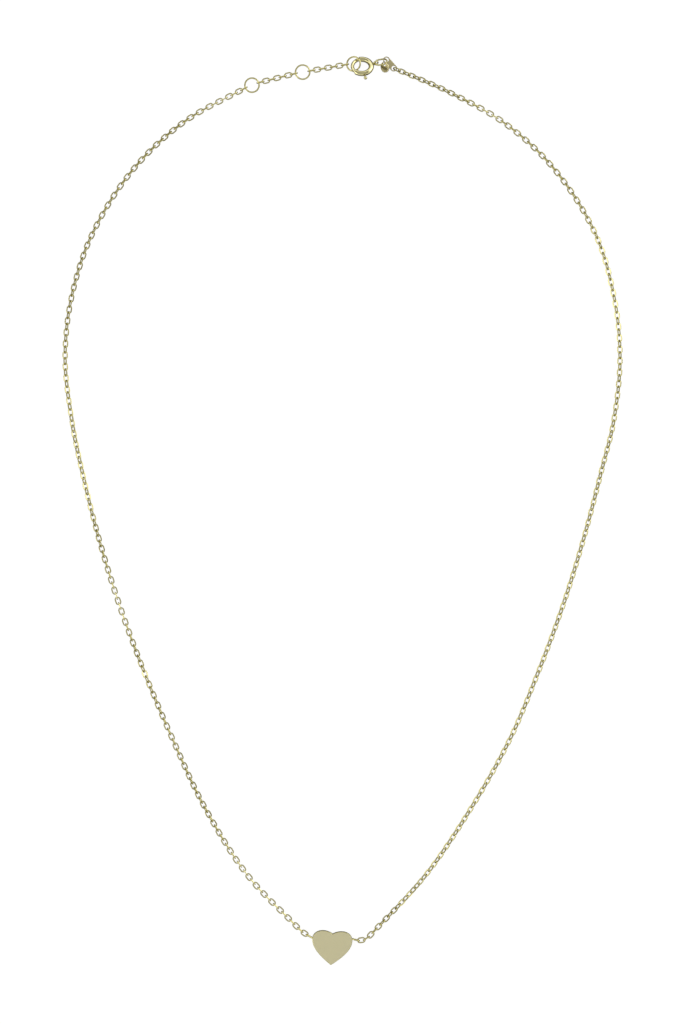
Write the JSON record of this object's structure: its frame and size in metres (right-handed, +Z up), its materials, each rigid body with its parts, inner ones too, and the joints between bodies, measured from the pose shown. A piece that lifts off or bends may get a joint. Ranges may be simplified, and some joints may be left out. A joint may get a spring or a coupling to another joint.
{
  "type": "pendant necklace",
  "caption": "Fine cable chain necklace with a flat heart pendant, two adjuster rings and a spring ring clasp, closed and laid out flat.",
  "frame": {"origin": "middle of the necklace's outline, on the surface it lies on", "axes": "+Z up from that surface, +Y from the heart to the clasp, +X to the right as it is seen from above"},
  "size_m": [0.1073, 0.1741, 0.0034],
  "materials": {
    "chain_gold": "polished",
    "heart_gold": "fine satin",
    "ring_gold": "polished",
    "clasp_gold": "polished",
    "tag_gold": "polished",
    "spring_steel": "plain drawn wire"
  },
  "bodies": {
    "lower_chain": {"left_chain_1": "chain_gold", "right_chain_1": "chain_gold"},
    "heart": {"heart_plate": "heart_gold", "left_eyelet": "chain_gold", "right_eyelet": "chain_gold"},
    "left_heart_link_1": {"left_heart_link_1": "chain_gold"},
    "left_heart_link_2": {"left_heart_link_2": "chain_gold"},
    "right_heart_link_1": {"right_heart_link_1": "chain_gold"},
    "right_heart_link_2": {"right_heart_link_2": "chain_gold"},
    "chain_2": {"left_chain_2": "chain_gold", "right_chain_2": "chain_gold"},
    "chain_3": {"left_chain_3": "chain_gold", "right_chain_3": "chain_gold"},
    "chain_4": {"left_chain_4": "chain_gold", "right_chain_4": "chain_gold"},
    "chain_5": {"left_chain_5": "chain_gold", "right_chain_5": "chain_gold"},
    "chain_6": {"left_chain_6": "chain_gold", "right_chain_6": "chain_gold", "left_chain_7": "chain_gold", "right_chain_7": "chain_gold"},
    "chain_8": {"left_chain_8": "chain_gold", "right_chain_8": "chain_gold"},
    "left_side": {"left_chain_9": "chain_gold", "left_chain_10": "chain_gold"},
    "right_side": {"right_chain_9": "chain_gold", "right_chain_10": "chain_gold"},
    "chain_11": {"left_chain_11": "chain_gold", "right_chain_11": "chain_gold"},
    "top_chain": {"left_chain_12": "chain_gold", "left_chain_13": "chain_gold", "left_chain_14": "chain_gold", "middle_chain": "chain_gold", "end_chain": "chain_gold", "right_chain_12": "chain_gold", "right_chain_13": "chain_gold", "right_chain_14": "chain_gold", "right_chain_15": "chain_gold"},
    "adjuster_ring_1": {"adjuster_ring_1": "ring_gold"},
    "adjuster_ring_2": {"adjuster_ring_2": "ring_gold"},
    "end_ring": {"end_ring": "ring_gold"},
    "clasp": {"clasp_tube": "clasp_gold", "clasp_loop": "clasp_gold", "clasp_spring": "spring_steel"},
    "trigger": {"clasp_tongue": "clasp_gold", "clasp_trigger": "clasp_gold"},
    "jump_ring": {"jump_ring": "ring_gold"},
    "end_plate": {"end_plate": "tag_gold"},
    "round_tag": {"round_tag": "tag_gold"}
  },
  "joints": [
    {"name": "heart_flip", "type": "hinge", "parent": "lower_chain", "child": "heart", "pos_m": [-0.00679, -0.08148, 0.00057], "axis": [0.994, -0.1095, 0], "range_deg": [-90, 90]},
    {"name": "left_link_1_turn", "type": "hinge", "parent": "lower_chain", "child": "left_heart_link_1", "pos_m": [-0.00679, -0.08148, 0.00057], "axis": [0.829, -0.5592, 0], "range_deg": [-60, 60]},
    {"name": "left_link_2_turn", "type": "hinge", "parent": "lower_chain", "child": "left_heart_link_2", "pos_m": [-0.00766, -0.08089, 0.00057], "axis": [0.7431, -0.6691, 0], "range_deg": [-30, 30]},
    {"name": "right_link_1_turn", "type": "hinge", "parent": "lower_chain", "child": "right_heart_link_1", "pos_m": [0.00313, -0.08258, 0.00057], "axis": [0.9903, 0.1392, 0], "range_deg": [-60, 60]},
    {"name": "right_link_2_turn", "type": "hinge", "parent": "lower_chain", "child": "right_heart_link_2", "pos_m": [0.00418, -0.08243, 0.00057], "axis": [0.848, 0.5299, 0], "range_deg": [-30, 30]},
    {"name": "fold_1", "type": "hinge", "parent": "lower_chain", "child": "chain_2", "pos_m": [0, -0.07, 0.00057], "axis": [1, 0, 0], "range_deg": [-38, 38]},
    {"name": "fold_2", "type": "hinge", "parent": "chain_2", "child": "chain_3", "pos_m": [0, -0.057, 0.00057], "axis": [1, 0, 0], "range_deg": [-38, 38]},
    {"name": "fold_3", "type": "hinge", "parent": "chain_3", "child": "chain_4", "pos_m": [0, -0.044, 0.00057], "axis": [1, 0, 0], "range_deg": [-38, 38]},
    {"name": "fold_4", "type": "hinge", "parent": "chain_4", "child": "chain_5", "pos_m": [0, -0.031, 0.00057], "axis": [1, 0, 0], "range_deg": [-38, 38]},
    {"name": "fold_5", "type": "hinge", "parent": "chain_5", "child": "chain_6", "pos_m": [0, -0.018, 0.00057], "axis": [1, 0, 0], "range_deg": [-38, 38]},
    {"name": "fold_6", "type": "hinge", "parent": "chain_6", "child": "chain_8", "pos_m": [0, 0.008, 0.00057], "axis": [1, 0, 0], "range_deg": [-38, 38]},
    {"name": "sway_left_lower", "type": "hinge", "parent": "chain_8", "child": "left_side", "pos_m": [-0.0518, 0.017, 0.00057], "axis": [0, 0, 1], "range_deg": [-25, 25]},
    {"name": "sway_right_lower", "type": "hinge", "parent": "chain_8", "child": "right_side", "pos_m": [0.052, 0.017, 0.00057], "axis": [0, 0, 1], "range_deg": [-25, 25]},
    {"name": "sway_left_upper", "type": "hinge", "parent": "left_side", "child": "chain_11", "pos_m": [-0.0518, 0.041, 0.00057], "axis": [0, 0, 1], "range_deg": [-25, 25]},
    {"name": "fold_7", "type": "hinge", "parent": "chain_11", "child": "top_chain", "pos_m": [0, 0.053, 0.00057], "axis": [1, 0, 0], "range_deg": [-38, 38]},
    {"name": "adjuster_ring_1_flip", "type": "hinge", "parent": "top_chain", "child": "adjuster_ring_1", "pos_m": [-0.0173, 0.0813, 0.00057], "axis": [0.9272, 0.3746, 0], "range_deg": [-40, 40]},
    {"name": "adjuster_ring_2_flip", "type": "hinge", "parent": "top_chain", "child": "adjuster_ring_2", "pos_m": [-0.0076, 0.0838, 0.00057], "axis": [0.9848, 0.1736, 0], "range_deg": [-40, 40]},
    {"name": "end_ring_swing", "type": "hinge", "parent": "top_chain", "child": "end_ring", "pos_m": [0.00104, 0.0853, 0.00057], "axis": [0.9336, 0, 0.3584], "range_deg": [-10, 15]},
    {"name": "clasp_swing", "type": "hinge", "parent": "top_chain", "child": "clasp", "pos_m": [0.00644, 0.08549, 0.001], "axis": [0.9815, 0.1604, -0.1042], "range_deg": [-20, 10]},
    {"name": "trigger_slide", "type": "hinge", "parent": "clasp", "child": "trigger", "pos_m": [0.00374, 0.08475, 0.00148], "axis": [0, 0.5446, 0.8387], "range_deg": [0, 60], "stiffness_Nm_per_rad": 0.002, "deforming": ["clasp_spring"]},
    {"name": "jump_ring_swing", "type": "hinge", "parent": "top_chain", "child": "jump_ring", "pos_m": [0.00648, 0.0855, 0.001], "axis": [0.9583, 0.2831, -0.0398], "range_deg": [-20, 10]},
    {"name": "end_plate_swing", "type": "hinge", "parent": "top_chain", "child": "end_plate", "pos_m": [0.00844, 0.08608, 0.00091], "axis": [0.6731, -0.7218, -0.1614], "range_deg": [-15, 5]},
    {"name": "round_tag_swing", "type": "hinge", "parent": "jump_ring", "child": "round_tag", "pos_m": [0.00806, 0.08518, 0.00158], "axis": [0.9263, 0.3605, -0.1097], "range_deg": [-20, 20]}
  ],
  "couplings": [
    {"joint": "left_link_1_turn", "follows": "heart_flip", "ratio": 0.66667},
    {"joint": "left_link_2_turn", "follows": "heart_flip", "ratio": 0.33333},
    {"joint": "right_link_1_turn", "follows": "heart_flip", "ratio": 0.66667},
    {"joint": "right_link_2_turn", "follows": "heart_flip", "ratio": 0.33333},
    {"joint": "sway_right_lower", "follows": "sway_left_lower", "ratio": 1},
    {"joint": "sway_left_upper", "follows": "sway_left_lower", "ratio": -1}
  ]
}
